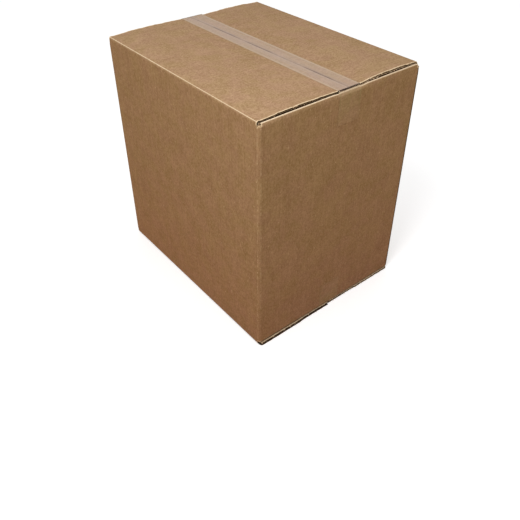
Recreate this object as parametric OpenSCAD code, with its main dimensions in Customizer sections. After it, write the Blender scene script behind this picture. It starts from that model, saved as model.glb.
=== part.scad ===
// Closed shipping carton: one slotted, creased and folded sheet of single wall corrugated board,
// with its glued lap, its eight flaps and a strip of tape along the top and the bottom seam.
// Millimetres. X runs along the box, Y across it and Z up, from under the middle of the base.

/* [Inside of the box] */
// Inside length, along X
inner_length = 457; // [400:1:800]
// Inside width, along Y
inner_width = 356; // [200:1:440]
// Inside height
inner_height = 457; // [150:1:800]

/* [Board] */
// Thickness of the board
board = 4; // [2.5:0.1:6]
// Thickness of each facing, which stands proud along a cut edge
facing = 0.5; // [0.2:0.05:1]
// Depth to which a slotted edge is open between its facings
open_flute = 2; // [0.5:0.1:5]
// Radius on the inside of every crease
crease_radius = 1; // [0.3:0.1:3]
// Clearance from one layer of flaps to the next
layer_gap = 0.4; // [0.1:0.1:2]

/* [Slots and seams] */
// Width of the slots between neighbouring flaps
slot_width = 6; // [3:0.5:15]
// Gap between the free edges of two outer flaps
seam_gap = 1.5; // [0.5:0.1:6]
// How far the top seam lies off the middle of the box, towards +Y
seam_shift = 6; // [-15:1:15]

/* [Glued lap] */
// Length of the lap, glued inside the corner at -X and +Y
lap_length = 35; // [20:1:60]
// How much shorter the lap is at its free edge, above and below
lap_taper = 6; // [1:1:20]
// Clearance from the lap to the creases of the end flaps
lap_relief = 2; // [0.5:0.5:10]
// How far the glued lap is pressed into the end panel
lap_press = 0.3; // [0.1:0.1:1]
// How far the cut edge of the glued end panel stays behind the corner
lap_setback = 1; // [0:0.5:3]

/* [Spring of the top flaps] */
// How far the outer top flaps bulge up between their creases and the tape
spring_height = 2; // [0:0.5:8]
// Strip of flap that lies flat beside each edge of the tape
held_margin = 5; // [1:1:25]

/* [Tape] */
// Width of the tape
tape_width = 50; // [24:1:75]
// Thickness of the tape
tape_thickness = 0.1; // [0.05:0.01:0.3]
// Length of tape that runs straight down each end panel
tape_tail = 52; // [20:1:120]
// How far the top tape lies off the middle of the box, towards +Y
tape_shift = 8; // [-15:1:15]

/* [Hidden] */

// Facets on a full circle
$fn = 96;
// Flat facets along the bulge of a flap, and along the tape where it lies on a crease
bulge_facets = 24;
wrap_facets = 6;

length = inner_length + 2 * board;
width = inner_width + 2 * board;
bend = board + crease_radius;

// Levels of the faces, from the floor up
base_z = tape_thickness;
end_base_z = base_z + board + layer_gap;
end_top_z = end_base_z + 2 * board + inner_height;
top_z = end_top_z + layer_gap + board;
slot_base_z = end_base_z + bend;
slot_top_z = end_top_z - bend;

// A slot is centred on its crease, so each flap ends half a slot short of it
flap_setback = board / 2 + slot_width / 2;
outer_flap_span = length - 2 * flap_setback;
end_flap_span = width - 2 * flap_setback;
flap_reach = (width - seam_gap) / 2;

// Outer top flap on one side: -1 for the flap hinged at -Y, 1 for the one hinged at +Y
function seam_reach(side) = width / 2 - side * seam_shift;
function held_strip(side) = tape_width / 2 + side * (tape_shift - seam_shift) + held_margin;

// A strip of board is a list of steps: a "run" of some length, a "crease" that turns it inwards by
// a right angle, or a "bulge" of some length and height
function top_flap_steps(side) = [
    ["run", board + layer_gap],
    ["crease"],
    ["bulge", seam_reach(side) - bend - held_strip(side), spring_height],
    ["run", held_strip(side) - seam_gap / 2]
];
base_flap_steps = [["run", board + layer_gap], ["crease"], ["run", flap_reach - bend]];
end_flap_steps = [["crease"], ["run", flap_reach - bend]];
wall_steps = [
    ["run", lap_length], ["crease"],
    ["run", length - board + lap_press - 2 * bend], ["crease"],
    ["run", width - 2 * bend], ["crease"],
    ["run", length - 2 * bend], ["crease"],
    ["run", width - bend - lap_setback]
];

// Tape, seen from the side: it leaves the edge of the outer flaps, touches the crease of the end
// panel and follows it down. Heights are taken from the face of the outer flaps
flap_edge = outer_flap_span / 2;
crease_centre = [length / 2 - bend, slot_top_z - top_z];
centre_to_edge = [flap_edge, 0] - crease_centre;
touch_angle = atan2(centre_to_edge.y, centre_to_edge.x) - acos(bend / norm(centre_to_edge));
function tape_wrap(lift) = [
    for (i = [0:wrap_facets])
        let (angle = touch_angle * (1 - i / wrap_facets))
            crease_centre
                + (bend / cos(touch_angle / wrap_facets / 2) + lift) * [cos(angle), sin(angle)]
];
function tape_side(lift) = concat(
    [[flap_edge + lift * tan((90 - touch_angle) / 2), lift]],
    tape_wrap(lift),
    [[length / 2 + lift, crease_centre.y - tape_tail]]
);
function reversed(points) = [for (i = [len(points) - 1:-1:0]) points[i]];
function mirrored(points) = [for (p = points) [-p.x, p.y]];

// A quarter of a ring, in the corner where X and Y are positive
module quarter_ring(radius, thickness) {
    intersection() {
        difference() {
            circle(radius);
            circle(radius - thickness);
        }
        square(2 * radius);
    }
}

// Section through a folded strip of board, whose outer face starts along the X axis with the board
// below it. A skin leaves that much off both faces, which gives the fluted core of the board
module strip_section(steps, skin = 0, i = 0) {
    if (i < len(steps)) {
        kind = steps[i][0];
        size = steps[i][1];
        if (kind == "crease") {
            translate([0, -bend]) quarter_ring(bend - skin, board - 2 * skin);
            translate([bend, -bend]) rotate(-90) strip_section(steps, skin, i + 1);
        } else {
            if (kind == "run")
                translate([0, skin - board]) square([size, board - 2 * skin]);
            else
                bulge_section(size, steps[i][2], skin);
            translate([size, 0]) strip_section(steps, skin, i + 1);
        }
    }
}

// A stretch of board that bulges out and comes back to its level
module bulge_section(size, height, skin) {
    top = [
        for (k = [0:bulge_facets])
            [size * k / bulge_facets, height * sin(180 * k / bulge_facets) - skin]
    ];
    polygon(concat(top, [for (p = reversed(top)) [p.x, p.y - board + 2 * skin]]));
}

// A flap with the stretch of panel above its slots, standing on the plane Z = 0 with its outer
// face at Y = 0. Both slotted edges are open between the facings, along the flutes
module flap(steps, span) {
    past_edge = 1;
    rotate([0, -90, 0]) difference() {
        linear_extrude(span, center = true) strip_section(steps);
        for (end = [-1, 1])
            translate([0, 0, end * span / 2]) linear_extrude(2 * open_flute, center = true)
                strip_section(concat(steps, [["run", past_edge]]), facing);
    }
}

// The four panels as one strip, from the lap round to the cut edge that is glued over it
module wall() {
    lap_start = width / 2 - bend - lap_length;
    lap_face = board - length / 2;
    difference() {
        translate([0, 0, slot_base_z]) linear_extrude(slot_top_z - slot_base_z)
            translate([lap_face - lap_press, lap_start]) rotate(90)
                strip_section(wall_steps);
        for (up = [0, 1])
            translate([lap_face, 0, (slot_base_z + slot_top_z) / 2]) mirror([0, 0, up])
                lap_trim(lap_start, (slot_top_z - slot_base_z) / 2);
    }
}

// What is trimmed off one end of the lap
module lap_trim(lap_start, half_height) {
    rotate([90, 0, 90]) linear_extrude(board) polygon([
        [lap_start - 1, half_height + 1],
        [lap_start - 1, half_height - lap_relief - lap_taper],
        [lap_start, half_height - lap_relief - lap_taper],
        [lap_start + lap_length, half_height - lap_relief],
        [lap_start + lap_length, half_height + 1]
    ]);
}

module carton() {
    color("burlywood") union() {
        wall();
        for (side = [-1, 1]) {
            // Outer flaps, hinged on the long panels
            mirror([0, side < 0 ? 1 : 0, 0]) translate([0, width / 2, 0]) {
                translate([0, 0, slot_top_z]) flap(top_flap_steps(side), outer_flap_span);
                translate([0, 0, slot_base_z]) mirror([0, 0, 1]) flap(base_flap_steps, outer_flap_span);
            }
            // Inner flaps, hinged on the end panels
            rotate(90 * side) translate([0, length / 2, 0]) {
                translate([0, 0, slot_top_z]) flap(end_flap_steps, end_flap_span);
                translate([0, 0, slot_base_z]) mirror([0, 0, 1]) flap(end_flap_steps, end_flap_span);
            }
        }
    }
}

// A strip of tape along a seam and down both end panels, on flaps whose face is the plane Z = 0
module tape() {
    outer = tape_side(tape_thickness);
    inner = tape_side(0);
    rotate([90, 0, 0]) linear_extrude(tape_width, center = true)
        polygon(concat(mirrored(reversed(outer)), outer, reversed(inner), mirrored(inner)));
}

module top_tape() {
    color("tan") translate([0, tape_shift, top_z]) tape();
}

module bottom_tape() {
    color("tan") translate([0, 0, base_z]) mirror([0, 0, 1]) tape();
}

carton();
top_tape();
bottom_tape();
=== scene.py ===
"""Looks of a closed shipping carton: one creased and folded sheet of corrugated board, with its flutes
and torn paper edges, and a strip of packing tape along the top seam and the bottom one.

Lengths are in millimetres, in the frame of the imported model, until a mesh is made."""

import math

import bpy
import numpy as np
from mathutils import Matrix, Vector


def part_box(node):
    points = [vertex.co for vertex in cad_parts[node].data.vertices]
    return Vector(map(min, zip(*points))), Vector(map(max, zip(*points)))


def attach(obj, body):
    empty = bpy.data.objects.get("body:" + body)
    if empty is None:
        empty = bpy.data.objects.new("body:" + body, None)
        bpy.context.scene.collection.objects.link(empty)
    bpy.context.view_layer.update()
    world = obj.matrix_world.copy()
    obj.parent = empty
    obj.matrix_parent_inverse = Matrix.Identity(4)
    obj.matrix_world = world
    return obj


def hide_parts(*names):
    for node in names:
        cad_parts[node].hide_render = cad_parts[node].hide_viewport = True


MM = 0.001

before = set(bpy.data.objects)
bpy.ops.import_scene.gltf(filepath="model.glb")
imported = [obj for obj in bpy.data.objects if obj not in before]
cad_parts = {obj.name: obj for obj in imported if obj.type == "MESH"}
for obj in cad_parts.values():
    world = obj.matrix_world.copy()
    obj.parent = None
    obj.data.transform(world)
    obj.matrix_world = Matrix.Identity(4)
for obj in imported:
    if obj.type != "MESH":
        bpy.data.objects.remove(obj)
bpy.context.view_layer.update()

# Board, creases and seams, as in the part's source
BOARD = 4.0
FACING = 0.5
LAYER_GAP = 0.4
BEND = BOARD + 1.0
SPRING = 2.0
SEAM_GAP = 1.5
SEAM_SHIFT = 6.0
HELD_MARGIN = 5.0
LAP_LENGTH = 35.0
LAP_TAPER = 8.0
LAP_PRESS = 0.3
LAP_SETBACK = 1.0
CREASE_ARC = BEND * math.pi / 2
SCORE_AT = 0.4 * CREASE_ARC
FLUTE_PITCH = 8.0

carton_low, carton_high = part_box("carton")
HALF_LENGTH = carton_high.x / MM
HALF_WIDTH = carton_high.y / MM
BASE_Z = carton_low.z / MM
TOP_Z = carton_high.z / MM - SPRING
SLOT_BASE = BASE_Z + BOARD + LAYER_GAP + BEND
SLOT_TOP = TOP_Z - BOARD - LAYER_GAP - BEND
WALL_HEIGHT = SLOT_TOP - SLOT_BASE

tape_low, tape_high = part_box("top_tape")
TAPE_HALF = (tape_high.y - tape_low.y) / 2 / MM
TAPE_SHIFT = (tape_high.y + tape_low.y) / 2 / MM
TAPE_END_Z = tape_low.z / MM


def linear(red, green, blue):
    """A colour as a picture shows it, from 0 to 255, as the shaders need it."""
    shares = [c / 255 for c in (red, green, blue)]
    values = [s / 12.92 if s <= 0.04045 else ((s + 0.055) / 1.055) ** 2.4 for s in shares]
    return (*values, 1.0)


class Val:
    """A socket in a material's tree. Operators add Math nodes."""

    def __init__(self, tree, socket):
        self.tree = tree
        self.socket = socket

    def math(self, operation, *others, clamp=False):
        values = {i: value for i, value in enumerate((self, *others))}
        settings = {"operation": operation, "use_clamp": clamp}
        return self.tree.add("ShaderNodeMath", settings, values)

    def __add__(self, other):
        return self.math("ADD", other)

    __radd__ = __add__

    def __sub__(self, other):
        return self.math("SUBTRACT", other)

    def __rsub__(self, other):
        return self.tree.add("ShaderNodeMath", {"operation": "SUBTRACT"}, {0: other, 1: self})

    def __mul__(self, other):
        return self.math("MULTIPLY", other)

    __rmul__ = __mul__

    def __truediv__(self, other):
        return self.math("DIVIDE", other)

    def high(self, other):
        return self.math("MAXIMUM", other)

    def clamped(self):
        return self.math("ADD", 0.0, clamp=True)

    def wave(self, length):
        """A sine of that wavelength, from -1 to 1."""
        return (self * (2 * math.pi / length)).math("SINE")

    def ramp(self, start, stop, first=0.0, last=1.0):
        """Goes smoothly from first to last as this value goes from start to stop."""
        return self.tree.add(
            "ShaderNodeMapRange",
            {"interpolation_type": "SMOOTHSTEP"},
            {0: self, 1: start, 2: stop, 3: first, 4: last},
        )


class Tree:
    """The node tree of one material or of the world."""

    def __init__(self, owner):
        owner.use_nodes = True
        self.owner = owner
        self.nodes = owner.node_tree.nodes
        self.links = owner.node_tree.links
        self.nodes.clear()

    def add(self, kind, settings=None, inputs=None, out=0):
        """Adds a node, with its settings first and then its sockets' values or links."""
        node = self.nodes.new(kind)
        for name, value in (settings or {}).items():
            setattr(node, name, value)
        for key, value in (inputs or {}).items():
            if isinstance(value, Val):
                self.links.new(value.socket, node.inputs[key])
            else:
                node.inputs[key].default_value = value
        return Val(self, node.outputs[out])

    def mix(self, factor, first, second):
        """Mixes two colours."""
        return self.add("ShaderNodeMix", {"data_type": "RGBA"}, {0: factor, 6: first, 7: second}, out=2)

    def attribute(self, name):
        return self.add("ShaderNodeAttribute", {"attribute_name": name}, out=2)

    def stretched(self, vector, scales):
        """A vector times one scale for each axis."""
        return self.add("ShaderNodeVectorMath", {"operation": "MULTIPLY"}, {0: vector, 1: scales})

    def noise(self, vector, size, detail=2.0, roughness=0.5):
        """Noise from 0 to 1 whose patches have about that size in millimetres."""
        inputs = {"Vector": vector, "Scale": 1 / (size * MM), "Detail": detail, "Roughness": roughness}
        return self.add("ShaderNodeTexNoise", inputs=inputs)

    def axis(self, vector, number):
        """One coordinate of a vector."""
        return self.add("ShaderNodeSeparateXYZ", inputs={0: vector}, out=number)

    def surface(self, shader):
        """Gives a shader to the material or the world."""
        world = isinstance(self.owner, bpy.types.World)
        node = self.nodes.new("ShaderNodeOutputWorld" if world else "ShaderNodeOutputMaterial")
        self.links.new(shader.socket, node.inputs["Surface"])

    def finish(self, colour, roughness, gloss, height, strength, depth):
        """Gives the material its colour and roughness, with a bump of that depth in millimetres."""
        bump = {"Height": height, "Strength": strength, "Distance": depth * MM}
        values = {
            "Base Color": colour,
            "Roughness": roughness,
            "Specular IOR Level": gloss,
            "Normal": self.add("ShaderNodeBump", inputs=bump),
        }
        self.surface(self.add("ShaderNodeBsdfPrincipled", inputs=values))
        return self.owner


# Colours, as they show in plain light
KRAFT_DARK = linear(143, 111, 79)
KRAFT_LIGHT = linear(194, 160, 126)
KRAFT_YELLOW = linear(166, 136, 97)
KRAFT_PINK = linear(172, 136, 108)
# Pale paper of worn folds, score lines and torn fibres, also a painted highlight on the level folds and on
# the crease under the tape
FOLD_LIGHT = linear(250, 227, 194)
RAW_PAPER = linear(236, 210, 174)
# Near-black brown: the darkest tone of the flutes' paper, and painted shade in the grooves between the
# facings, by the base flaps' edges, along the creases the box stands on, down the corner at +X and +Y and in
# the hollows under the tape
CORE_AND_SHADE_BROWN = linear(34, 12, 2)
CORE_PAPER = linear(122, 92, 62)
# Dark fibres and dirt, also a painted shadow along the film's edges
FIBRE_DARK = linear(104, 74, 48)
# The film's pale cover, partly a painted sheen of the bright surround, its streaks, its tint on the tails
# and its bright rim
FILM = linear(190, 176, 171)
FILM_STREAK = linear(176, 156, 146)
TAIL_FILM = linear(146, 146, 92)
SEAM_SHADE = linear(88, 66, 56)
RIM_FILM = linear(198, 173, 138)
PAPER_GLOSS = 0.03
FILM_GLOSS = 0.15


def kraft_paper(tree, where, sheet, rubbed=1.0):
    """Colour of a kraft facing and how its fibres stand up, by its place in space and on the sheet. Rubbed
    paper shows more grain."""
    clouds = tree.noise(where, 45, 3.0, 0.6)
    mottle = tree.noise(where, 12, 3.0, 0.6)
    grain = tree.noise(where, 3.4, 3.0, 0.75)
    pulp = tree.noise(where, 1.3, 1.0)
    streaks = tree.noise(tree.stretched(sheet, (1.0, 0.05, 1.0)), 4.5, 3.0, 0.7)
    fibres = tree.noise(tree.stretched(sheet, (1.0, 0.25, 1.0)), 1.8, 2.0, 0.6)
    tone = (
        0.5
        + (clouds - 0.5) * 0.8
        + (mottle - 0.5) * 0.85
        + (grain - 0.5) * 2.7 * rubbed
        + (pulp - 0.5) * 1.1 * rubbed
        + (streaks - 0.5) * 1.2
        + (fibres - 0.5) * 1.4
    )
    colour = tree.mix(tone.clamped(), KRAFT_DARK, KRAFT_LIGHT)
    tint = tree.noise(where, 36, 3.0, 0.6)
    yellow, pink = (tree.mix(0.5, colour, kraft) for kraft in (KRAFT_YELLOW, KRAFT_PINK))
    colour = tree.mix(tint.ramp(0.35, 0.65), yellow, pink)
    specks = tree.noise(tree.stretched(where, (1.0, 1.0, 0.6)), 2.0, 1.0)
    colour = tree.mix(specks.ramp(0.72, 0.80, 0.0, 0.6), colour, FIBRE_DARK)
    pale = tree.noise(tree.stretched(where, (1.0, 1.0, 0.5)), 3.0, 2.0, 0.7)
    colour = tree.mix(pale.ramp(0.66, 0.78, 0.0, 0.6), colour, RAW_PAPER)
    return colour, grain * 0.5 + fibres * 0.4 + mottle * 0.4


def kraft_board(name):
    """Kraft facing with faint flute lines, paler where it is folded or cut, dark between the facings. The
    pale level folds are partly worn paper and partly a painted highlight. The dark between the facings is
    painted shade over the flutes' own brown, and painted shade also lies along the creases that the box
    stands on, down the corner at +X and +Y and by the base flaps' edges.
    """
    tree = Tree(bpy.data.materials.new(name))
    where = tree.add("ShaderNodeTexCoord", out=3)
    sheet = tree.add("ShaderNodeUVMap", {"uv_map": "blank"})
    around, up = (tree.axis(sheet, number) / MM for number in (0, 1))
    flute = around.wave(FLUTE_PITCH)
    rubbed = up.ramp(WALL_HEIGHT, WALL_HEIGHT + CREASE_ARC, 1.0, 1.35)
    colour, nap = kraft_paper(tree, where, sheet, rubbed)

    broken = tree.noise(where, 5, 3.0, 0.7)
    # Pale line along each level fold: partly worn paper, partly a painted highlight, strongest on the folds
    # that face the light
    folded = tree.attribute("level_fold").ramp(1.25, 0.25) * tree.attribute("wear_and_highlight")
    colour = tree.mix(folded * broken.ramp(0.28, 0.52, 0.45, 1.0), colour, FOLD_LIGHT)
    score = (tree.attribute("upright_fold") - SCORE_AT).math("ABSOLUTE")
    colour = tree.mix(score.ramp(1.0, 0.2) * broken.ramp(0.44, 0.62, 0.0, 0.3), colour, FOLD_LIGHT)
    torn = tree.attribute("cut_edge").ramp(2.7, 1.5) * broken.ramp(0.35, 0.55, 0.45, 1.0)
    colour = tree.mix(torn, colour, RAW_PAPER)
    # Painted shade, in the near-black of the flutes: in the grooves, by the base flaps' edges, along the
    # creases the box stands on and down the corner at +X and +Y
    colour = tree.mix(tree.attribute("core"), colour, CORE_AND_SHADE_BROWN)

    height = nap + flute * 0.10 - score.ramp(1.2, 0.0) * 0.8 + torn * 0.3
    return tree.finish(colour, broken.ramp(0.3, 0.7, 0.78, 0.9), PAPER_GLOSS, height, 0.5, 0.2)


def packing_film(name):
    """Thin film stuck on the board, with the board painted on it as it would show through: streaked along
    its length, brighter near its edges and beside the seam, and all but clear where it turns down the end
    panels. Its pale cover over the board is partly the film's own haze and partly a painted sheen of the
    bright surround, weaker on the tails. The seam gap and the hollow past the flaps' ends are painted shade
    on it, and the crease below it a painted highlight with worn paper."""
    tree = Tree(bpy.data.materials.new(name))
    where = tree.add("ShaderNodeTexCoord", out=3)
    strip = tree.add("ShaderNodeUVMap", {"uv_map": "strip"})
    across = tree.axis(strip, 1) / MM
    tail = tree.attribute("tail")
    colour, nap = kraft_paper(tree, where, strip)

    drawn = tree.noise(tree.stretched(strip, (0.012, 1.0, 1.0)), 3.0, 2.0, 0.6)
    stuck = tree.noise(tree.stretched(strip, (0.5, 1.0, 1.0)), 9, 3.0, 0.6)
    from_middle = across.math("ABSOLUTE")
    rim = from_middle.ramp(TAPE_HALF - 5.5, TAPE_HALF - 2.5)
    band = from_middle.ramp(TAPE_HALF - 14.0, TAPE_HALF - 9.0) * (1.0 - rim)
    outline = from_middle.ramp(TAPE_HALF - 1.3, TAPE_HALF - 0.5)
    far_side = across.ramp(-1.0, 3.0) * (1.0 - rim)
    # How much the film's pale cover hides the board: partly its own haze, partly a painted sheen of the
    # bright surround, and less on the tails and further down the end panels
    haze_and_sheen = (
        0.34
        + (drawn - 0.5) * 0.85
        + (stuck - 0.5) * 0.5
        + rim * 0.24
        + tree.attribute("beside_gap") * 0.12
        - far_side * 0.08
        - band * 0.06
    )
    seen = 1.0 - tail * 0.6 - tree.attribute("clear") * 0.4
    film = tree.mix((0.4 + (drawn - 0.5) * 2.0).clamped(), FILM, FILM_STREAK)
    film = tree.mix(rim * 0.7, film, RIM_FILM)
    film = tree.mix(tail, film, TAIL_FILM)
    colour = tree.mix((haze_and_sheen * seen).clamped(), colour, film)
    # A darker line along the film's edges: dirt and a painted shadow of the edge
    colour = tree.mix(outline * 0.3 * (1.0 - tail), colour, FIBRE_DARK)
    colour = tree.mix(tree.attribute("over_gap"), colour, SEAM_SHADE)
    # Painted shade of the hollow past each outer flap's end, and a painted highlight on the crease below,
    # with worn paper, where the tape crosses them
    beads = tree.noise(where, 3.5, 2.0, 0.7)
    hollow = tree.attribute("over_hollow") * beads.ramp(0.4, 0.62, 1.0, 0.8)
    colour = tree.mix(hollow, colour, CORE_AND_SHADE_BROWN)
    fold = tree.attribute("over_fold") * beads.ramp(0.35, 0.55, 0.35, 0.8)
    colour = tree.mix(fold, colour, FOLD_LIGHT)

    height = drawn * 0.5 + stuck * 0.5 + nap * 0.3
    roughness = stuck.ramp(0.3, 0.7, 0.32, 0.5) + tail * 0.3
    return tree.finish(colour, roughness, FILM_GLOSS, height, 0.3, 0.3)


def loose_paper(name, darker, paler):
    """Uncoated paper of the board where it is torn or shows between the facings."""
    tree = Tree(bpy.data.materials.new(name))
    where = tree.add("ShaderNodeTexCoord", out=3)
    patches = tree.noise(where, 4, 3.0, 0.7)
    fibres = tree.noise(tree.stretched(where, (1.0, 1.0, 0.3)), 0.8, 2.0, 0.6)
    tone = (patches - 0.5) * 2.2 + (fibres - 0.5) * 1.4 + 0.5
    colour = tree.mix(tone.clamped(), darker, paler)
    return tree.finish(colour, patches.ramp(0.3, 0.7, 0.8, 0.95), PAPER_GLOSS, fibres, 0.4, 0.1)


def put(name, data):
    """A new object in the scene."""
    made = bpy.data.objects.new(name, data)
    bpy.context.scene.collection.objects.link(made)
    return made


def aim(thing, direction):
    """Turns a lamp or a camera to look along a direction."""
    thing.rotation_mode = "QUATERNION"
    thing.rotation_quaternion = direction.to_track_quat("-Z", "Y")


def wobble(at, length, seed):
    """A smooth random wave from about -1 to 1 along a line, with about that wavelength."""
    source = np.random.default_rng(seed)
    total = np.zeros_like(np.asarray(at, float))
    for share, stretch in ((0.5, 1.0), (0.3, 0.47), (0.2, 0.23)):
        wave = length * stretch * source.uniform(0.8, 1.25)
        total += share * np.sin(2 * np.pi * at / wave + source.uniform(0, 2 * np.pi))
    return total


def smooth(at, start, stop):
    """0 before start and 1 after stop, with a soft step between."""
    share = np.clip((np.asarray(at, float) - start) / (stop - start), 0, 1)
    return share * share * (3 - 2 * share)


def window(at, start, full, fading, stop):
    """0 before start, 1 from full to fading and 0 after stop."""
    return smooth(at, start, full) * (1 - smooth(at, fading, stop))


def peak(at, middle, width):
    """A soft peak of 1 at its middle."""
    return np.exp(-(((at - middle) / width) ** 2))


class Strip:
    """Outer face of a strip of board, in one plane, that runs straight, creases to the right or bulges."""

    def __init__(self, steps, start, heading):
        self.parts = []
        point = np.array(start, float)
        at = 0.0
        for kind, size, *height in steps:
            forward = np.array([math.cos(heading), math.sin(heading)])
            outward = np.array([-forward[1], forward[0]])
            rise = height[0] if height else 0.0
            self.parts.append((kind, at, at + size, point, forward, outward, rise))
            if kind == "crease":
                point = point - outward * BEND + forward * BEND
                heading -= math.pi / 2
            else:
                point = point + forward * size
            at += size
        self.length = at

    def at(self, distances):
        """Points of the outer face and its outward directions."""
        points = np.zeros((len(distances), 2))
        outwards = np.zeros((len(distances), 2))
        for i, (kind, first, last, point, forward, outward, height) in enumerate(self.parts):
            inside = distances >= first if i else np.full(len(distances), True)
            along = (distances[inside] - first)[:, None]
            if kind == "crease":
                normal = outward * np.cos(along / BEND) + forward * np.sin(along / BEND)
                points[inside] = point - outward * BEND + normal * BEND
                outwards[inside] = normal
            else:
                share = np.clip(along / (last - first), 0, 1)
                points[inside] = point + forward * along + outward * height * np.sin(np.pi * share)
                outwards[inside] = outward
        return points, outwards


def crease():
    return ("crease", CREASE_ARC)


def top_flap(side):
    """Steps of an outer top flap: -1 for the near one, at -Y, and 1 for the far one."""
    reach = HALF_WIDTH - side * SEAM_SHIFT
    held = TAPE_HALF + side * (TAPE_SHIFT - SEAM_SHIFT) + HELD_MARGIN
    return [
        ("run", BOARD + LAYER_GAP),
        crease(),
        ("bulge", reach - BEND - held, SPRING),
        ("run", held - SEAM_GAP / 2),
    ]


FLAP_REACH = HALF_WIDTH - SEAM_GAP / 2 - BEND
BASE_FLAP = [("run", BOARD + LAYER_GAP), crease(), ("run", FLAP_REACH)]
END_FLAP = [crease(), ("run", FLAP_REACH)]

# Parts of the wall, from the free edge of the lap round to the edge that is glued over it
LAP, FAR, RIGHT, NEAR, LEFT, LAST = 0, 2, 4, 6, 8, 9
FAR_RIGHT_CORNER = 3
CORNERS = (1, FAR_RIGHT_CORNER, 5, 7)
WALL = Strip(
    [
        ("run", LAP_LENGTH),
        crease(),
        ("run", 2 * HALF_LENGTH - BOARD + LAP_PRESS - 2 * BEND),
        crease(),
        ("run", 2 * HALF_WIDTH - 2 * BEND),
        crease(),
        ("run", 2 * HALF_LENGTH - 2 * BEND),
        crease(),
        ("run", 2 * HALF_WIDTH - 2 * BEND),
        ("run", BEND - LAP_SETBACK),
    ],
    (BOARD - HALF_LENGTH - LAP_PRESS, HALF_WIDTH - BEND - LAP_LENGTH),
    math.pi / 2,
)
FLAPS = {(FAR, 1): top_flap(1), (NEAR, 1): top_flap(-1), (FAR, -1): BASE_FLAP, (NEAR, -1): BASE_FLAP}
FLAPS.update({(part, end): END_FLAP for part in (RIGHT, LEFT) for end in (1, -1)})
FLAP_STRIPS = {key: Strip(steps, (0.0, 0.0), 0.0) for key, steps in FLAPS.items()}


def span(part):
    """Where a part of the wall begins and ends round the box."""
    return WALL.parts[part][1:3]


def on_flap(key, v, panel, end):
    """How far along a flap each point is, and which points are on that flap."""
    part, side = key
    rise = (v - WALL_HEIGHT) if side > 0 else -v
    return rise, (panel == part) & (end == side) & (rise > 0)


# The grid of the blank: its first distances from an edge, its facets on a crease and its pitches round the
# box, along the lap, up the wall and along the flaps
NEAR_EDGE_STEPS = (0.0, 0.7, 1.6, 3.0, 5.0, 8.5)
CREASE_FACETS = 6
PANEL_PITCH = 11
LAP_PITCH = 8
WALL_PITCH = 12
ROW_PITCH = {(FAR, 1): 3.0, (NEAR, 1): 3.0}
OTHER_ROW_PITCH = 7.0


def graded(length, pitch, first=NEAR_EDGE_STEPS, last=NEAR_EDGE_STEPS):
    """Distances from 0 to length, close together near both ends."""
    count = max(1, round((length - first[-1] - last[-1]) / pitch))
    middle = np.linspace(first[-1], length - last[-1], count + 1)
    return np.concatenate([first[:-1], middle, length - np.array(last[:-1])[::-1]])


def wall_columns():
    """Columns of the blank round the box, as the part of the wall and its distances."""
    columns = []
    for i, (kind, first, last, *_) in enumerate(WALL.parts):
        if kind == "crease":
            steps = np.linspace(0, CREASE_ARC, CREASE_FACETS + 1)
        elif i in (LAP, LAST):
            steps = graded(last - first, LAP_PITCH, (0.0, 1.0), (0.0,))
        else:
            steps = graded(last - first, PANEL_PITCH)
        columns.append(first + steps)
    return columns


def flap_rows(steps, pitch):
    """Rows of a flap, from the level of its slots to its free edge."""
    rows = [np.array([0.0])]
    at = 0.0
    for i, (kind, size, *_) in enumerate(steps):
        if kind == "crease":
            rows.append(at + np.linspace(0, size, CREASE_FACETS + 1)[1:])
        elif i == len(steps) - 1:
            rows.append(at + graded(size, pitch, (0.0,))[1:])
        else:
            rows.append(at + np.linspace(0, size, max(2, round(size / pitch)) + 1)[1:])
        at += size
    return np.concatenate(rows)


class Blank:
    """The flat blank as a grid: u round the box, v up the wall and on along each flap."""

    def __init__(self):
        self.u = []
        self.v = []
        self.panel = []
        self.end = []
        self.quads = []
        columns = wall_columns()
        rows = graded(WALL_HEIGHT, WALL_PITCH)
        edge_column = None
        for part, distances in enumerate(columns):
            fresh = distances if edge_column is None else distances[1:]
            heights = [self.wall_heights(part, u, rows) for u in fresh]
            grid = [self.column(u, height, part, 0) for u, height in zip(fresh, heights)]
            if edge_column is not None:
                grid.insert(0, edge_column)
            self.sheet(grid)
            edge_column = grid[-1]
            for end in (-1, 1):
                if (part, end) in FLAPS:
                    self.flap(part, end, distances, [line[-1 if end > 0 else 0] for line in grid])

        self.u = np.array(self.u)
        self.v = np.array(self.v)
        self.panel = np.array(self.panel)
        self.end = np.array(self.end)

    def wall_heights(self, part, u, rows):
        if part != LAP:
            return rows
        taper = LAP_TAPER * (1 - u / LAP_LENGTH)
        return taper + rows * (WALL_HEIGHT - 2 * taper) / WALL_HEIGHT

    def column(self, u, heights, panel, end):
        first = len(self.u)
        self.u += [u] * len(heights)
        self.v += list(heights)
        self.panel += [panel] * len(heights)
        self.end += [end] * len(heights)
        return list(range(first, first + len(heights)))

    def sheet(self, grid, flip=False):
        """Faces between neighbouring columns, outwards."""
        for left, right in zip(grid, grid[1:]):
            for row in range(len(left) - 1):
                quad = (left[row], left[row + 1], right[row + 1], right[row])
                self.quads.append(quad[::-1] if flip else quad)

    def flap(self, part, end, distances, roots):
        rows = flap_rows(FLAPS[part, end], ROW_PITCH.get((part, end), OTHER_ROW_PITCH))
        heights = WALL_HEIGHT + rows[1:] if end > 0 else -rows[1:]
        grid = [[root, *self.column(u, heights, part, end)] for u, root in zip(distances, roots)]
        self.sheet(grid, flip=end < 0)


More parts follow.
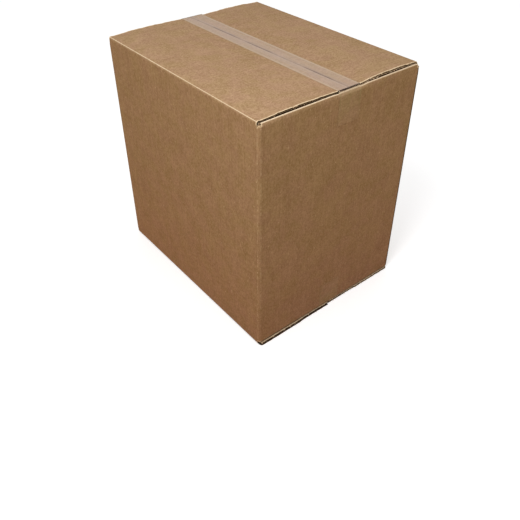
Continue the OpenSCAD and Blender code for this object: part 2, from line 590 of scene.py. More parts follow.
def flap_dip(part, side, rise, across):
    """How far an end flap sinks behind its crease, under the outer flaps, before it comes up again."""
    if part not in (LEFT, RIGHT):
        return np.zeros_like(rise)
    deep = END_DIP[side] * (1.0 - END_DIP_EASE * smooth(1 - across, 0.42, 0.62))
    return deep * smooth(rise, DIP_START, DIP_STOP) * (1 - DIP_LOSS * smooth(rise, 30, 90))


# How deep the end flaps dip at the top and the base, how much less towards the lap's end of the wall, which
# share of that they lose further in, and where on the crease the dip begins and where it is full
END_DIP = {1: 2.8, -1: 1.0}
END_DIP_EASE = 0.75
DIP_LOSS = 0.6
DIP_START = 0.82 * CREASE_ARC
DIP_STOP = CREASE_ARC + 1.0


def place(u, v, depth, panel, end):
    """Points of the folded board, at some depth below its outer face."""
    points = np.zeros((len(u), 3))
    flat, outward = WALL.at(u)
    points[:, :2] = flat - outward * depth[:, None]
    points[:, 2] = SLOT_BASE + v
    for (part, side), strip in FLAP_STRIPS.items():
        rise, mine = on_flap((part, side), v, panel, end)
        if not mine.any():
            continue
        _, first, last, start, forward, away, _ = WALL.parts[part]
        section, lean = strip.at(rise[mine])
        below = depth[mine]
        level = SLOT_TOP if side > 0 else SLOT_BASE
        sunk = flap_dip(part, side, rise[mine], (u[mine] - first) / (last - first))
        points[mine, 2] = level + side * (section[:, 0] - lean[:, 0] * below - sunk)
        reach = (section[:, 1] - lean[:, 1] * below)[:, None]
        points[mine, :2] = start + forward * (u[mine] - first)[:, None] + away * reach
    return points


def part_span(panel):
    """Where each vertex's part of the wall begins and ends round the box."""
    firsts = np.array([part[1] for part in WALL.parts])
    lasts = np.array([part[2] for part in WALL.parts])
    return firsts[panel], lasts[panel]


def edge_shift(u, v, panel, end, under=False):
    """How far ragged edges move on the blank, round the box and along the flap. The facing that is
    under a slotted edge ends a little further in."""
    round_box = np.zeros(len(u))
    along = np.zeros(len(u))
    first, last = part_span(panel)
    for (part, side), strip in FLAP_STRIPS.items():
        rise, mine = on_flap((part, side), v, panel, end)
        here = rise[mine]
        for sign, gap in ((-1, u[mine] - first[mine]), (1, last[mine] - u[mine])):
            key = 10 * part + side + 100 * (sign + 2)
            rough = 0.30 * wobble(here, 14, key) + 0.16 * wobble(here, 4.5, key + 1) - sign * 0.15
            edge = (part, side, sign)
            proud = PROUD_EDGES.get(edge, 0.0) * (1 - 0.17 * smooth(here, 112, 117))
            lip = -UNDERCUT.get((part, side), 0.0) if under else OUTER_LIP.get(edge, 0.0)
            out = proud * smooth(here, 4, 13) + lip * smooth(here, 4, 14)
            out -= CORNER_WORN.get(edge, 0.0) * peak(here, 10, 9)
            round_box[mine] += (1 - smooth(gap, 0, 4.0)) * smooth(here, 0, 8) * rough
            round_box[mine] += (1 - smooth(gap, 0, 9.0)) * sign * out
        if part in (NEAR, FAR) and side > 0:
            # The seam runs slightly askew and its gap opens and closes
            x = (u[mine] - first[mine] - HALF_LENGTH) * (-1 if part == NEAR else 1)
            skew = SEAM_SKEW * x / HALF_LENGTH
            open_more = SEAM_OPENS * wobble(x, 190, 31)
            held = strip.parts[-1]
            share = np.clip((here - held[1]) / (held[2] - held[1]), 0, 1)
            along[mine] += share * (skew - open_more if part == NEAR else -skew - 0.2 * open_more)
    for side, level in ((1, v - WALL_HEIGHT), (-1, -v)):
        curl = corner_curl(u, level, end, side) * (0.85 + 0.5 * wobble(u, 3.1, 41 + side))
        along -= side * curl
    return round_box, along


def corner_curl(u, level, end, side):
    """How far the board stands up into a slot at each corner of the box, above or below the panels."""
    total = np.zeros(len(u))
    for part, height in CORNER_CURL.items():
        first, last = span(part)
        share = np.clip((u - first) / (last - first), 0, 1)
        total += height * (1.0 if side > 0 else 0.5) * np.sin(np.pi * share) ** 0.35
    return np.where(end == 0, total * smooth(level, -9, 0), 0.0)


# How far slotted edges stand proud, by the panel, end and side of the flap, how much further out their
# outer facing reaches and how much further in the inner one ends, and how worn they are by the crease
PROUD_EDGES = {(NEAR, -1, -1): 6.5, (FAR, -1, 1): 5.2}
OUTER_LIP = {(NEAR, -1, -1): 2.6, (FAR, -1, 1): 0.8}
UNDERCUT = {(NEAR, 1): 2.0, (FAR, 1): 0.8}
CORNER_WORN = {(FAR, 1, 1): 3.0, (NEAR, 1, -1): 0.8}
# How high the board stands up into the slot at each corner of the box
CORNER_CURL = {1: 1.5, 3: 1.0, 5: 3.8, 7: 2.0}
# How far the seam is off its line at each end, and how much its gap varies
SEAM_SKEW = 2.5
SEAM_OPENS = 0.5


def surface_lift(u, v, panel, end):
    """How far the board stands out of its true surface, or in, if it is below 0."""
    first, last = part_span(panel)
    across = np.clip((u - first) / (last - first), 0, 1)
    rise = v - WALL_HEIGHT

    # Panels sink in a little between their edges
    belly = np.sin(np.pi * across) * np.sin(np.pi * np.clip(v / WALL_HEIGHT, 0, 1))
    uneven = 0.5 + 0.5 * wobble(u + 1.3 * v, 330, 5) * wobble(u - 0.7 * v, 210, 6)
    straight = np.isin(panel, (FAR, RIGHT, NEAR, LEFT)) & (end == 0)
    lift = np.where(straight, -belly * (0.5 + 0.5 * uneven), 0.0)
    for side, level in ((1, rise), (-1, -v)):
        lift -= 0.35 * corner_curl(u, level, end, side)

    # The outer top flaps' slotted edges ripple, lie low beside the crease and spring up at +X
    near_edge = (1 - smooth(u - first, 0, 22)) + (1 - smooth(last - u, 0, 22))
    ripples = -0.35 + 0.45 * wobble(rise + 40 * (u > (first + last) / 2), 46, 8)
    ripples = window(rise, *RIPPLED) * ripples - 0.9 * window(rise, *LOW_BY_CREASE)
    from_end = np.where(panel == NEAR, u - first, last - u)
    sprung = np.where(panel == NEAR, SPRUNG[0], SPRUNG[1]) * window(rise, *SPRUNG_ALONG)
    edge_lift = near_edge * ripples + sprung * (1 - smooth(from_end, 0, 32))
    lift += np.where(np.isin(panel, (FAR, NEAR)) & (end > 0), edge_lift, 0.0)

    # The crease at +X stands up in a ridge, less under the tape, and is crushed at its far end
    ridge = RIDGE[0] * (1 - across) + RIDGE[1] * across
    ridge *= 1 - TAPED_LOSS * window(across, *UNDER_TAPE)
    crushed = CRUSHED * (1 - smooth(u - first, 0, 10)) * smooth(rise, 0, 5)
    crease_lift = ridge * peak(rise, RIDGE_AT, 2.2) - crushed
    return lift + np.where((panel == RIGHT) & (end > 0), crease_lift, 0.0)


# Where along the flap the top flaps' edges ripple, lie low and spring up, and how far the near and the far
# flap spring up at +X
RIPPLED = (14, 40, 125, 150)
LOW_BY_CREASE = (9, 16, 18, 48)
SPRUNG_ALONG = (8, 25, 125, 150)
SPRUNG = (0.1, 2.0)
# Where the ridge of the crease at +X lies on its flap, how high it is at its far and near ends, how far it
# is crushed at the far one, which shares of its length are under the tape and how much lower it is there
RIDGE_AT = 0.75 * CREASE_ARC
RIDGE = (4.0, 1.6)
CRUSHED = 1.8
UNDER_TAPE = (0.36, 0.41, 0.54, 0.59)
TAPED_LOSS = 0.7


def groove_depth(v, panel, end):
    """How far the flutes lie behind a cut edge."""
    rise = np.where(end > 0, v - WALL_HEIGHT, -v)
    depth = 2.2 + 0.7 * wobble(v, 23, 12)
    for part, (middle, spread, length, seed) in GROOVES.items():
        depth = np.where((end != 0) & (panel == part), middle + spread * wobble(rise, length, seed), depth)
    return np.maximum(depth, LEAST_GROOVE)


# Least depth of the groove, how much its bottom slants, and how deep it is in the slotted edges of the
# outer flaps: its mean, how much it varies, over what length, and the seed
LEAST_GROOVE = 2.6
GROOVE_SLANT = 0.8
GROOVES = {NEAR: (5.2, 1.2, 31, 13), FAR: (2.8, 1.9, 19, 14)}


def boundary(quads):
    """The blank's outline as one loop, in the direction of its faces."""
    following = {}
    edges = set()
    for quad in quads:
        for a, b in zip(quad, quad[1:] + quad[:1]):
            edges.add((a, b))
    for a, b in edges:
        if (b, a) not in edges:
            following[a] = b
    loop = [min(following)]
    while following[loop[-1]] != loop[0]:
        loop.append(following[loop[-1]])
    assert len(loop) == len(following), "the blank has more than one outline"
    return np.array(loop)


def inward(u, v, loop):
    """Mitred direction into the blank at each point of its outline."""
    flat = np.stack([u[loop], v[loop]], axis=1)
    ahead = np.roll(flat, -1, axis=0) - flat
    ahead /= np.linalg.norm(ahead, axis=1)[:, None]
    behind = np.roll(ahead, 1, axis=0)
    turn_in = np.stack([ahead[:, 1], -ahead[:, 0]], axis=1)
    turn_in_before = np.stack([behind[:, 1], -behind[:, 0]], axis=1)
    spread = 1 + (turn_in * turn_in_before).sum(axis=1)
    return (turn_in + turn_in_before) / spread[:, None]


def fold_distances(u, v, panel, end):
    """Distances on the board to the nearest upright fold, level fold and cut edge, and how strong the level
    fold's pale line is, which is partly worn paper and partly a painted highlight."""
    far_off = 60.0
    first, last = part_span(panel)
    upright = np.full(len(u), far_off)
    for kind, start, stop, *_ in WALL.parts:
        if kind == "crease":
            upright = np.minimum(upright, abs(u - (start + stop) / 2))
    upright = np.where(end == 0, upright, far_off)
    level = np.full(len(u), far_off)
    cut = np.full(len(u), far_off)
    wear_and_highlight = np.full(len(u), 0.6)
    for key, steps in FLAPS.items():
        rise, flap = on_flap(key, v, panel, end)
        left, right = span(key[0])
        wall = (u >= left) & (u <= right) & (end == 0)
        fold = FOLD_AT.get(key, 0.5) * CREASE_ARC + (0.0 if steps is END_FLAP else steps[0][1])
        mine = flap | wall
        level[mine] = np.minimum(level[mine], abs(rise[mine] - fold) / FOLD_WIDTH.get(key, 1.0))
        sides = np.minimum(u - first, last - u)
        free_edge = FLAP_STRIPS[key].length - rise + (far_off if key[1] > 0 else 0.0)
        cut[flap] = np.minimum(sides, free_edge)[flap]
        across = (u - left) / (right - left)
        # The painted highlight is stronger over the later half of each fold round the box
        strength = FOLD_WEAR_AND_HIGHLIGHT.get(key, 0.6) * (0.8 + 0.2 * smooth(across, 0.4, 0.6))
        chosen = flap | (wall & (rise > -WALL_HEIGHT / 2))
        wear_and_highlight[chosen] = strength[chosen]
    bare = np.isin(panel, (*CORNERS, LAP, LAST)) & (end == 0)
    cut[bare] = np.minimum(v, WALL_HEIGHT - v)[bare]
    cut = np.minimum(cut, np.where(end == 0, WALL.length - u, far_off))
    cut = np.minimum(cut, np.where(end == 0, u, far_off))
    return upright, level, np.minimum(cut, far_off), wear_and_highlight


# How strong each level fold's pale line is, partly worn paper and partly a painted highlight strongest on
# the folds that face the light, how wide its pale line is and where it lies on the crease
FOLD_WEAR_AND_HIGHLIGHT = {
    (NEAR, 1): 0.8,
    (RIGHT, 1): 1.0,
    (FAR, 1): 0.3,
    (LEFT, 1): 0.35,
    (NEAR, -1): 0.9,
    (RIGHT, -1): 0.5,
}
FOLD_WIDTH = {(RIGHT, 1): 1.35, (NEAR, 1): 0.85}
FOLD_AT = {(RIGHT, 1): 0.78, (NEAR, -1): 0.15, (RIGHT, -1): 0.2}


def painted_base_and_corner_shade(u, v, panel, end):
    """Painted shade on the board along the creases that it stands on, and down the upright corner at +X and
    +Y, which turns away from the light."""
    on_crease = -v - np.where(np.isin(panel, (NEAR, FAR)), BOARD + LAYER_GAP, 0.0)
    base = BASE_SHADE * window(on_crease, 0.5, 4.0, CREASE_ARC, CREASE_ARC + 4) * (end < 0)
    start, stop = span(FAR_RIGHT_CORNER)
    return base + CORNER_SHADE * window(u, start - 2, start + 1, stop - 1.0, stop + 2.5) * (end == 0)


# How dark the painted shade is along the creases that the box stands on and down the corner at +X and +Y
BASE_SHADE = 0.5
CORNER_SHADE = 0.75


def make_mesh(name, points, faces, attributes, uv_name, uvs, material):
    """A mesh object from points in millimetres, with values at its points and its own UV map."""
    mesh = bpy.data.meshes.new(name)
    mesh.from_pydata([tuple(p) for p in np.asarray(points) * MM], [], faces)
    for key, values in attributes.items():
        layer = mesh.attributes.new(key, "FLOAT", "POINT")
        layer.data.foreach_set("value", np.asarray(values, np.float32))
    corners = np.empty(len(mesh.loops), np.int32)
    mesh.loops.foreach_get("vertex_index", corners)
    layer = mesh.uv_layers.new(name=uv_name)
    layer.data.foreach_set("uv", (np.asarray(uvs)[corners] * MM).astype(np.float32).ravel())
    mesh.materials.append(material)
    mesh.validate()
    mesh.shade_smooth()
    mesh.set_sharp_from_angle(angle=math.radians(40))
    return put(name, mesh)


def folded_board(material):
    """The folded blank as one closed shell: two facings, joined by a groove round every cut edge."""
    blank = Blank()
    u, v, panel, end = blank.u, blank.v, blank.panel, blank.end
    shifts = [edge_shift(u, v, panel, end, under) for under in (False, True)]
    lift = surface_lift(u, v, panel, end)
    loop = boundary(blank.quads)
    into = inward(u, v, loop)
    groove = groove_depth(v[loop], panel[loop], end[loop])
    slant = GROOVE_SLANT * wobble(np.arange(len(loop)), 9, 15)

    def layer(depth, chosen=slice(None), shift=0.0, under=0):
        du, dv = shifts[under]
        moved_u = u[chosen] + du[chosen]
        moved_v = v[chosen] + np.where(end > 0, dv, -dv)[chosen]
        if not np.isscalar(shift):
            moved_u = moved_u + shift[:, 0]
            moved_v = moved_v + shift[:, 1]
        depths = depth - lift[chosen]
        return place(moved_u, moved_v, depths, panel[chosen], end[chosen])

    rings = [
        layer(FACING, loop),
        layer(FACING, loop, into * (groove + slant)[:, None]),
        layer(BOARD - FACING, loop, into * (groove - slant)[:, None]),
        layer(BOARD - FACING, loop, under=1),
    ]
    outer, inner = layer(0.0), layer(BOARD, under=1)
    count, turns = len(outer), len(loop)
    points = np.concatenate([outer, *rings, inner])
    faces = list(blank.quads)
    inner_start = count + turns * len(rings)
    faces += [tuple(inner_start + i for i in quad[::-1]) for quad in blank.quads]
    ring_ids = [count + turns * k + np.arange(turns) for k in range(len(rings))]
    ring_ids = [loop, *ring_ids, inner_start + loop]
    following = np.roll(np.arange(turns), -1)
    for outside, inside in zip(ring_ids, ring_ids[1:]):
        for k in range(turns):
            faces.append(
                (int(outside[following[k]]), int(outside[k]), int(inside[k]), int(inside[following[k]]))
            )

    upright, level, cut, wear_and_highlight = fold_distances(u, v, panel, end)
    far_edge = (panel[loop] == FAR) & (end[loop] != 0)
    # The grooves between the facings are painted near-black, the flutes' brown with painted shade, less and
    # unevenly along the far flaps' edges
    deep = np.where(far_edge, 0.62 + 0.38 * wobble(v[loop], 16, 17), 1.0)
    first, last = part_span(panel)
    from_end = np.where(panel == NEAR, u - first, last - u)
    base_edge = np.isin(panel, (NEAR, FAR)) & (end < 0)
    # Painted shade on the outer facing's cut side along one slotted edge of each base flap
    lip = np.where(base_edge[loop] & (from_end[loop] < 1), 0.9, 0.0)
    # Painted shade on the inner face of each base flap near that edge, fading further in
    under_end = np.where(base_edge, 0.25 + 0.75 * smooth(from_end, 1.2, 3.0), 0.0)
    under_end = under_end * (1 - smooth(from_end, 12, 40))
    # How dark the outer face, each ring and the inner face are: painted shade, over the flutes' own brown in
    # the grooves
    core = [painted_base_and_corner_shade(u, v, panel, end), lip, deep, deep, 0.5 * deep, 0.85 * under_end]

    def spread(values):
        return np.concatenate([values, *(values[loop] for _ in rings), values])

    attributes = {
        "upright_fold": spread(upright),
        "level_fold": spread(level),
        "cut_edge": spread(cut),
        "wear_and_highlight": spread(wear_and_highlight),
        "core": np.concatenate(core),
    }
    flat = np.stack([spread(u), spread(v)], axis=1)
    return make_mesh("carton_board", points, faces, attributes, "blank", flat, material)


def folded(u, v, depth, panel, end):
    """Points of the folded board from places on the blank, with its ragged edges and uneven faces."""
    above, under = (edge_shift(u, v, panel, end, low) for low in (False, True))
    du, dv = (np.where(depth > BOARD / 2, low, high) for high, low in zip(above, under))
    lift = surface_lift(u, v, panel, end)
    return place(u + du, v + np.where(end > 0, dv, -dv), depth - lift, panel, end)


class Growth(Tree):
    """A Geometry Nodes tree that makes what repeats along lines on the flat blank. It has a named input
    for each size, and what it makes is folded with the board."""

    def __init__(self, name, sizes, material):
        self.group = bpy.data.node_groups.new(name, "GeometryNodeTree")
        self.nodes = self.group.nodes
        self.links = self.group.links
        self.given = {**sizes, "Material": material}
        sockets = self.group.interface
        sockets.new_socket("Lines", in_out="INPUT", socket_type="NodeSocketGeometry")
        sockets.new_socket("Parts", in_out="OUTPUT", socket_type="NodeSocketGeometry")
        self.keys = {}
        for title, value in self.given.items():
            kind = {int: "NodeSocketInt", float: "NodeSocketFloat"}.get(type(value), "NodeSocketMaterial")
            self.keys[title] = sockets.new_socket(title, in_out="INPUT", socket_type=kind).identifier
        self.entry = self.nodes.new("NodeGroupInput")

    def input(self, title):
        return Val(self, self.entry.outputs[title])

    def curve(self):
        """The lines that the tree is given."""
        return self.add("GeometryNodeMeshToCurve", inputs={0: self.input("Lines")})

    def attribute(self, name, kind="FLOAT"):
        return self.add("GeometryNodeInputNamedAttribute", {"data_type": kind}, {0: name})

    def random(self, low, high, seed):
        """A random vector for each instance, between two vectors."""
        return self.add("FunctionNodeRandomValue", {"data_type": "FLOAT_VECTOR"}, {0: low, 1: high, 8: seed})

    def run(self, lines, parts):
        """Runs the tree on the lines, folds what it makes and returns that as a piece."""
        whole = self.add("GeometryNodeRealizeInstances", inputs={0: parts})
        dressed = self.add("GeometryNodeSetMaterial", inputs={0: whole, 2: self.input("Material")})
        self.links.new(dressed.socket, self.nodes.new("NodeGroupOutput").inputs[0])
        modifier = lines.modifiers.new(self.group.name, "NODES")
        modifier.node_group = self.group
        for title, key in self.keys.items():
            modifier[key] = self.given[title]
        evaluated = lines.evaluated_get(bpy.context.evaluated_depsgraph_get())
        mesh = bpy.data.meshes.new_from_object(evaluated)
        lines.modifiers.remove(modifier)
        bpy.data.objects.remove(lines)

        values = {}
        for key in ("panel", "end"):
            values[key] = np.empty(len(mesh.vertices), np.float32)
            mesh.attributes[key].data.foreach_get("value", values[key])
        flat = np.empty(3 * len(mesh.vertices), np.float32)
        mesh.vertices.foreach_get("co", flat)
        u, v, depth = flat.reshape(-1, 3).T.astype(float) / MM
        points = folded(u, v, depth, np.rint(values["panel"]).astype(int), np.rint(values["end"]))
        points[:, 2] = np.maximum(points[:, 2], 0.0)
        mesh.vertices.foreach_set("co", (points * MM).astype(np.float32).ravel())
        mesh.materials.clear()
        mesh.materials.append(self.given["Material"])
        mesh.polygons.foreach_set("material_index", np.zeros(len(mesh.polygons), np.int32))
        for key in ("panel", "end", "frayed", "outward"):
            mesh.attributes.remove(mesh.attributes[key])
        mesh.update()
        return put(self.group.name, mesh)


def blank_lines(name, lines):
    """An object of lines on the flat blank. A line is its two ends, as round, up and depth in
    millimetres, its panel and its end of the box, the way out of the board there and how frayed it is."""
    points = []
    edges = []
    values = {"panel": [], "end": [], "frayed": [], "outward": []}
    for start, stop, panel, end, outward, frayed in lines:
        length = np.linalg.norm(np.subtract(stop, start))
        steps = max(2, round(length / 1.5) + 1)
        first = len(points)
        clumps = 0.2 + 2.2 * np.maximum(wobble(np.linspace(0, length, steps), 13, first), 0)
        for share, clump in zip(np.linspace(0, 1, steps), clumps):
            points.append(np.add(start, np.subtract(stop, start) * share) * MM)
            values["panel"].append(panel)
            values["end"].append(end)
            values["frayed"].append(frayed * clump)
            values["outward"].append(outward)
        edges += [(i, i + 1) for i in range(first, len(points) - 1)]
    mesh = bpy.data.meshes.new(name)
    mesh.from_pydata([tuple(p) for p in points], edges, [])
    for key, column in values.items():
        kind, field = ("FLOAT_VECTOR", "vector") if key == "outward" else ("FLOAT", "value")
        layer = mesh.attributes.new(key, kind, "POINT")
        layer.data.foreach_set(field, np.asarray(column, np.float32).ravel())
    return put(name, mesh)


def corner_lines(inset, below, depths, frayed):
    """Lines along the bottoms of the slots at the corners of the box, above the wall and below it."""
    lines = []
    for part in CORNERS:
        first, last = span(part)
        for end, level in ((1, WALL_HEIGHT - below), (-1, below)):
            for depth in depths:
                start, stop = ((at, level, depth) for at in (first + inset, last - inset))
                lines.append((start, stop, part, 0, (0, end, 0), frayed))
    return lines


def core_flutes(material):
    """Waves of the fluted paper, where the slots at the corners of the box cut across them."""
    tree = Growth(
        "core_flutes",
        {
            "Flute Pitch": FLUTE_PITCH * MM,
            "Wave Height": (BOARD - 2 * FACING - FLUTE_SHEET) / 2 * MM,
            "Strip Depth": FLUTE_STRIP * MM,
            "Sheet": FLUTE_SHEET * MM,
        },
        material,
    )
    line = tree.curve()
    pitch = tree.input("Flute Pitch")
    fine = tree.add("GeometryNodeResampleCurve", {"mode": "LENGTH"}, {0: line, 3: pitch / 12})
    along = tree.add("GeometryNodeSplineParameter", out=1)
    wave = (along / pitch * (2 * math.pi)).math("SINE") * tree.input("Wave Height")
    offset = tree.add("ShaderNodeCombineXYZ", inputs={2: wave})
    bent = tree.add("GeometryNodeSetPosition", inputs={0: fine, 3: offset})
    upright = tree.add("GeometryNodeSetCurveNormal", {"mode": "Z_UP"}, {0: bent})
    profile = tree.add(
        "GeometryNodeCurvePrimitiveQuadrilateral",
        {"mode": "RECTANGLE"},
        {0: tree.input("Strip Depth"), 1: tree.input("Sheet")},
    )
    strip = tree.add("GeometryNodeCurveToMesh", inputs={0: upright, 1: profile, "Fill Caps": True})
    lines = corner_lines(0.2, FLUTE_STRIP / 2, (BOARD / 2,), 0)
    return tree.run(blank_lines("flute_lines", lines), strip)


def torn_fibres(material):
    """Fibres that stand out of the slotted edges of the outer flaps and of the slots' bottoms."""
    tree = Growth(
        "torn_fibres",
        {
            "Spacing": FIBRE_SPACING * MM,
            "Fibre Length": FIBRE_LENGTH * MM,
            "Fibre Width": FIBRE_WIDTH * MM,
            "Seed": 11,
        },
        material,
    )
    line = tree.curve()
    spots = tree.add("GeometryNodeCurveToPoints", {"mode": "LENGTH"}, {0: line, 2: tree.input("Spacing")})
    seed = tree.input("Seed")
    chance = tree.add("FunctionNodeRandomValue", {"data_type": "FLOAT"}, {8: seed}, out=1)
    fewer = {"data_type": "FLOAT", "operation": "LESS_THAN"}
    chosen = tree.add("FunctionNodeCompare", fewer, {0: chance, 1: tree.attribute("frayed")})
    outward = tree.attribute("outward", "FLOAT_VECTOR")
    turn = tree.add("FunctionNodeAlignRotationToVector", {"axis": "Z"}, {2: outward})
    lean = tree.random(tuple(-angle for angle in FIBRE_LEAN), FIBRE_LEAN, seed + 1)
    lean = tree.add("FunctionNodeEulerToRotation", inputs={0: lean})
    turn = tree.add("FunctionNodeRotateRotation", {"rotation_space": "LOCAL"}, {0: turn, 1: lean})
    size = tree.random(FIBRE_LEAST, FIBRE_MOST, seed + 2)
    width = tree.input("Fibre Width")
    cone = {0: 5, 3: width * 0.2, 4: width * 0.5, 5: tree.input("Fibre Length")}
    fibre = tree.add("GeometryNodeMeshCone", {"fill_type": "NGON"}, cone)
    sowing = {0: spots, 1: chosen, 2: fibre, 5: turn, 6: size}
    sown = tree.add("GeometryNodeInstanceOnPoints", inputs=sowing)
    lines = []
    depths = (FIBRE_DEPTH, BOARD - FIBRE_DEPTH)
    for (part, end), shares in FRAYED.items():
        first, last = span(part)
        reach = FLAP_STRIPS[part, end].length
        rise = sorted(end * level for level in (CLEAR_OF_FOLD, reach - CLEAR_OF_EDGE))
        low, high = ((WALL_HEIGHT if end > 0 else 0.0) + r for r in rise)
        for sign, at, share in zip((-1, 1), (first, last), shares):
            for depth, more in zip(depths, (0.6, 1.0)):
                start, stop = ((at - sign * FIBRE_ROOT, level, depth) for level in (low, high))
                lines.append((start, stop, part, end, (sign, 0, 0), share * more))
    lines += corner_lines(SLOT_ROOT, SLOT_ROOT, depths, 0.9)
    return tree.run(blank_lines("fibre_lines", lines), sown)


FLUTE_SHEET = 0.25
FLUTE_STRIP = 2.0
FIBRE_SPACING = 0.8
FIBRE_LENGTH = 1.9
FIBRE_WIDTH = 1.3
# How deep in the board and behind a flap's edge or a slot's bottom fibres are rooted, and how far their
# lines stay clear of a flap's fold and its free edge
FIBRE_DEPTH = 0.6 * FACING
FIBRE_ROOT = 0.35
SLOT_ROOT = 0.3
CLEAR_OF_FOLD = 6.0
CLEAR_OF_EDGE = 4.0
# How far fibres lean each way, in radians, and the least and most that their size is times
FIBRE_LEAN = (0.55, 0.45, 0.5)
FIBRE_LEAST = (0.2, 0.4, 0.3)
FIBRE_MOST = (0.4, 1.5, 1.3)
# How frayed both slotted edges of each outer flap are, from the edge nearer the lap
FRAYED = {(NEAR, 1): (0.16, 0.2), (FAR, 1): (0.2, 0.7), (NEAR, -1): (0.2, 0.2), (FAR, -1): (0.2, 0.6)}


def tape_path():
    """Middle line of the top tape, from one tail over the flaps to the other: its distances from the
    middle, and its x, its height over the flaps' face and its outward direction at each of them."""
    edge_x = HALF_LENGTH - BEND
    centre_z = SLOT_TOP - TOP_Z
    touch = math.pi / 2 - math.acos(-BEND / centre_z)
    contact = (edge_x + BEND * math.cos(touch), centre_z + BEND * math.sin(touch))
    lean = (math.pi / 2 - touch) / 2
    flat = np.append(np.arange(0, edge_x - 3, 4.0), edge_x - np.array([2.2, 1.6, 1.0, 0.5]))
    half = [(x, 0.0, 0.0, 1.0) for x in flat]
    half.append((edge_x, 0.0, math.sin(lean), math.cos(lean)))
    for share in np.linspace(0, 1, 14)[1:-1]:
        x = edge_x + (contact[0] - edge_x) * share
        half.append((x, contact[1] * share, math.cos(touch), math.sin(touch)))
    for angle in np.linspace(touch, 0, 6):
        out = (math.cos(angle), math.sin(angle))
        half.append((edge_x + BEND * out[0], centre_z + BEND * out[1], *out))
    for z in np.linspace(centre_z, TAPE_END_Z - TOP_Z, 22)[1:]:
        half.append((HALF_LENGTH, z, 1.0, 0.0))
    half = np.array(half)
    path = np.concatenate([half[1:][::-1] * np.array([-1, 1, -1, 1]), half])
    steps = np.linalg.norm(np.diff(path[:, :2], axis=0), axis=1)
    distance = np.concatenate([[0], np.cumsum(steps)])
    return distance - distance[-1] / 2, path


def tape(name, level, side, shift, material):
    """A strip of tape as a thin closed film, on the flaps' face at that level: above it for side 1 and
    below it for side -1."""
    distance, path = tape_path()
    across = np.linspace(-TAPE_HALF, TAPE_HALF, 51)
    width = len(across)
    along, over = np.meshgrid(distance, across, indexing="ij")
    x, drop, out_x, out_z = (np.repeat(path[:, k][:, None], width, axis=1) for k in range(4))
    teeth = np.where(np.arange(width) % 2 == 0, -0.45, 0.45)
    drop[0] += teeth + 0.5 + 0.4 * wobble(across, 40, 71 + side)
    drop[-1] += teeth[::-1] + 0.5 + 0.4 * wobble(across, 40, 73 + side)
    wrinkle = 0.06 + 0.05 * wobble(along * 0.35 + over * 0.9, 17, 75 + side)
    top = side > 0
    on_flaps = abs(x) < HALF_LENGTH - BEND
    past_edge = abs(along) - (HALF_LENGTH - BEND)
    from_gap = over - (SEAM_SHIFT - TAPE_SHIFT + SEAM_SKEW * x / HALF_LENGTH if top else 0.0)
    gap = np.maximum(peak(from_gap, 0, 1.15), 0.33 * peak(from_gap, 0, 4.0) * (from_gap > 0))
    shown = sum(window(x, low, low + 12, high - 12, high) for low, high in SEAM_SHOWS)
    shown = np.clip(0.42 + 0.52 * shown + 0.15 * wobble(x, 23, 77), 0, 1)
    values = {
        "tail": smooth(abs(x), HALF_LENGTH - BEND - 0.5, HALF_LENGTH),
        "over_gap": gap * on_flaps * shown,
        # Masks for the painted shade of the hollow past the flaps' ends and the painted highlight of the
        # crease below
        "over_hollow": window(past_edge, -1.4, -0.4, 1.9, 2.9) * top,
        "over_fold": peak(past_edge, 3.8, 1.0) * top,
        "beside_gap": peak(abs(from_gap), 3.2, 1.8),
        "clear": smooth(-drop, 14, 60),
    }
    stand = wrinkle * (0.5 if top else 0.2) - 0.05 * peak(from_gap, 0, 1.6) * on_flaps

    def film(lift):
        """One face of the film, at some height over the board."""
        out = stand + lift
        z = level + side * (drop + out_z * out)
        return np.stack([(x + out_x * out).ravel(), (over + shift).ravel(), z.ravel()], axis=1)

    outer, inner = (film(lift) for lift in ((0.20, 0.08) if top else (0.07, 0.015)))
    corners = [i * width + j for i in range(len(distance) - 1) for j in range(width - 1)]
    faces = [(a, a + width, a + width + 1, a + 1) for a in corners]
    faces = faces if top else [quad[::-1] for quad in faces]
    loop = boundary(faces)
    count = len(outer)
    faces += [tuple(count + i for i in quad[::-1]) for quad in faces]
    for a, b in zip(loop, np.roll(loop, -1)):
        faces.append((int(b), int(a), int(a + count), int(b + count)))
    twice = {key: np.tile(value.ravel(), 2) for key, value in values.items()}
    flat = np.tile(np.stack([along.ravel(), over.ravel()], axis=1), (2, 1))
    return make_mesh(name, np.concatenate([outer, inner]), faces, twice, "strip", flat, material)


# Where the gap under the top tape shows most, along X
SEAM_SHOWS = ((-150, -62), (-40, 44), (120, 200))


def white_to_the_eye(tree):
    """1 for what the camera sees, directly or in gloss or glass, and 0 for the light on objects."""
    path = tree.add("ShaderNodeLightPath").socket.node.outputs
    camera = Val(tree, path["Is Camera Ray"])
    return camera.high(Val(tree, path["Is Glossy Ray"])).high(Val(tree, path["Is Transmission Ray"]))


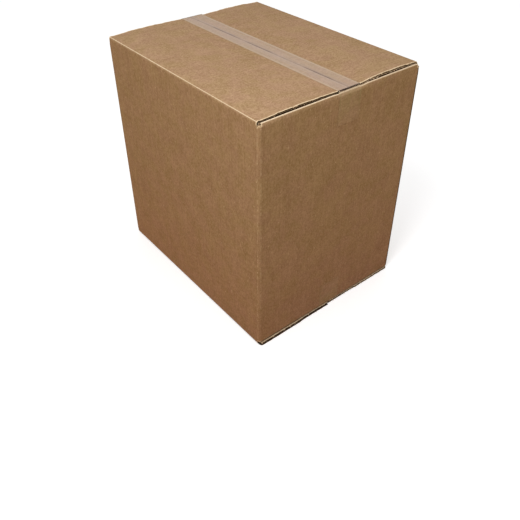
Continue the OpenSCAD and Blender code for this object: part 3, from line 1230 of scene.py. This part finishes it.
def studio():
    """Pale floor, soft light that is strongest from above, and a white surround."""
    world = bpy.data.worlds.new("surround")
    bpy.context.scene.world = world
    tree = Tree(world)
    height = tree.axis(tree.add("ShaderNodeTexCoord", out=0), 2)
    sky = tree.mix(height.clamped(), HORIZON, ZENITH)
    lit = tree.add("ShaderNodeBackground", inputs={"Color": sky, "Strength": SKY_LIGHT})
    seen = tree.add("ShaderNodeBackground", inputs={"Color": (1, 1, 1, 1), "Strength": 1.0})
    tree.surface(tree.add("ShaderNodeMixShader", inputs={0: white_to_the_eye(tree), 1: lit, 2: seen}))

    material = bpy.data.materials.new("pale_floor")
    tree = Tree(material)
    where = tree.add("ShaderNodeTexCoord", out=3)
    away = tree.add("ShaderNodeVectorMath", {"operation": "LENGTH"}, {0: where}, out=1)
    pair = {0: where, 1: (-1.0, -1.0, 0.0)}
    near = tree.add("ShaderNodeVectorMath", {"operation": "DOT_PRODUCT"}, pair, out=1)
    mat = tree.mix(near.ramp(-0.25, 0.25), MAT_BOUNCE, MAT_NEAR_BOUNCE)
    bounce = tree.mix(away.ramp(*MAT_EDGE), mat, FLOOR_BOUNCE)
    bounce = tree.add("ShaderNodeBsdfDiffuse", inputs={"Color": bounce})
    pale = tree.add("ShaderNodeBsdfDiffuse", inputs={"Color": (0.97, 0.97, 0.97, 1)})
    glow = tree.add("ShaderNodeEmission", inputs={"Color": (1, 1, 1, 1), "Strength": FLOOR_GLOW})
    pale = tree.add("ShaderNodeAddShader", inputs={0: pale, 1: glow})
    tree.surface(tree.add("ShaderNodeMixShader", inputs={0: white_to_the_eye(tree), 1: bounce, 2: pale}))
    mesh = bpy.data.meshes.new("floor")
    corners = [(x * FLOOR_HALF, y * FLOOR_HALF, 0) for x, y in ((-1, -1), (1, -1), (1, 1), (-1, 1))]
    mesh.from_pydata(corners, [], [(0, 1, 2, 3)])
    mesh.materials.append(material)
    put("floor", mesh)

    light = bpy.data.lights.new("overhead", "AREA")
    light.shape = "DISK"
    light.size = LAMP_SIZE
    light.energy = LAMP_WATTS
    lamp = put("overhead", light)
    lamp.location = LAMP_AT
    aim(lamp, Vector(LAMP_AIM) - Vector(LAMP_AT))


# Light of the sky from its horizon up, light that the floor and the ground by the box throw back, how far
# from the box that ground reaches, and the lamp. Metres
SKY_LIGHT = 0.665
HORIZON = (0.6, 0.525, 0.355, 1)
ZENITH = tuple((1 - c / 3) * 1.5 for c in HORIZON[:3]) + (1,)
FLOOR_BOUNCE = (0.55, 0.44, 0.2, 1)
MAT_BOUNCE = (0.33, 0.07, 0.0, 1)
MAT_NEAR_BOUNCE = (0.5, 0.17, 0.01, 1)
MAT_EDGE = (0.4, 0.9)
FLOOR_GLOW = 0.36
FLOOR_HALF = 6.0
LAMP_AT = (0.465, -0.68, 1.335)
LAMP_AIM = (0.0, 0.0, 0.47)
LAMP_SIZE = 0.45
LAMP_WATTS = 6.7


def camera():
    """The photograph's viewpoint."""
    lens = bpy.data.cameras.new("viewpoint")
    lens.sensor_width = 36.0
    lens.lens = LENS
    lens.shift_y = SHIFT_UP
    lens.clip_start = 0.05
    lens.clip_end = 50
    viewer = put("viewpoint", lens)
    viewer.location = [c * MM for c in EYE]
    azimuth, elevation = (math.radians(a) for a in LOOK)
    level = math.cos(elevation)
    back = Vector((math.sin(azimuth) * level, -math.cos(azimuth) * level, math.sin(elevation)))
    aim(viewer, -back)
    bpy.context.scene.camera = viewer


# Focal length, place, azimuth and elevation that it looks from, and upward shift of the picture
LENS = 40.92
EYE = (829.3, -661.3, 868.7)
LOOK = (51.1, 36.8)
SHIFT_UP = -0.0731

board = folded_board(kraft_board("kraft_board"))
flutes = core_flutes(loose_paper("core_paper", CORE_AND_SHADE_BROWN, CORE_PAPER))
fibres = torn_fibres(loose_paper("torn_paper", KRAFT_LIGHT, FOLD_LIGHT))
film = packing_film("packing_film")
top_tape = tape("tape_top", TOP_Z, 1, TAPE_SHIFT, film)
bottom_tape = tape("tape_bottom", BASE_Z, -1, 0.0, film)

for piece, node, slot in (
    (board, "carton", "corrugated_board"),
    (top_tape, "top_tape", "packing_tape"),
    (bottom_tape, "bottom_tape", "packing_tape"),
):
    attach(piece, "root")
    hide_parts(node)
for piece in (flutes, fibres):
    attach(piece, "root")

studio()
camera()

bpy.context.scene.view_settings.view_transform = "Standard"
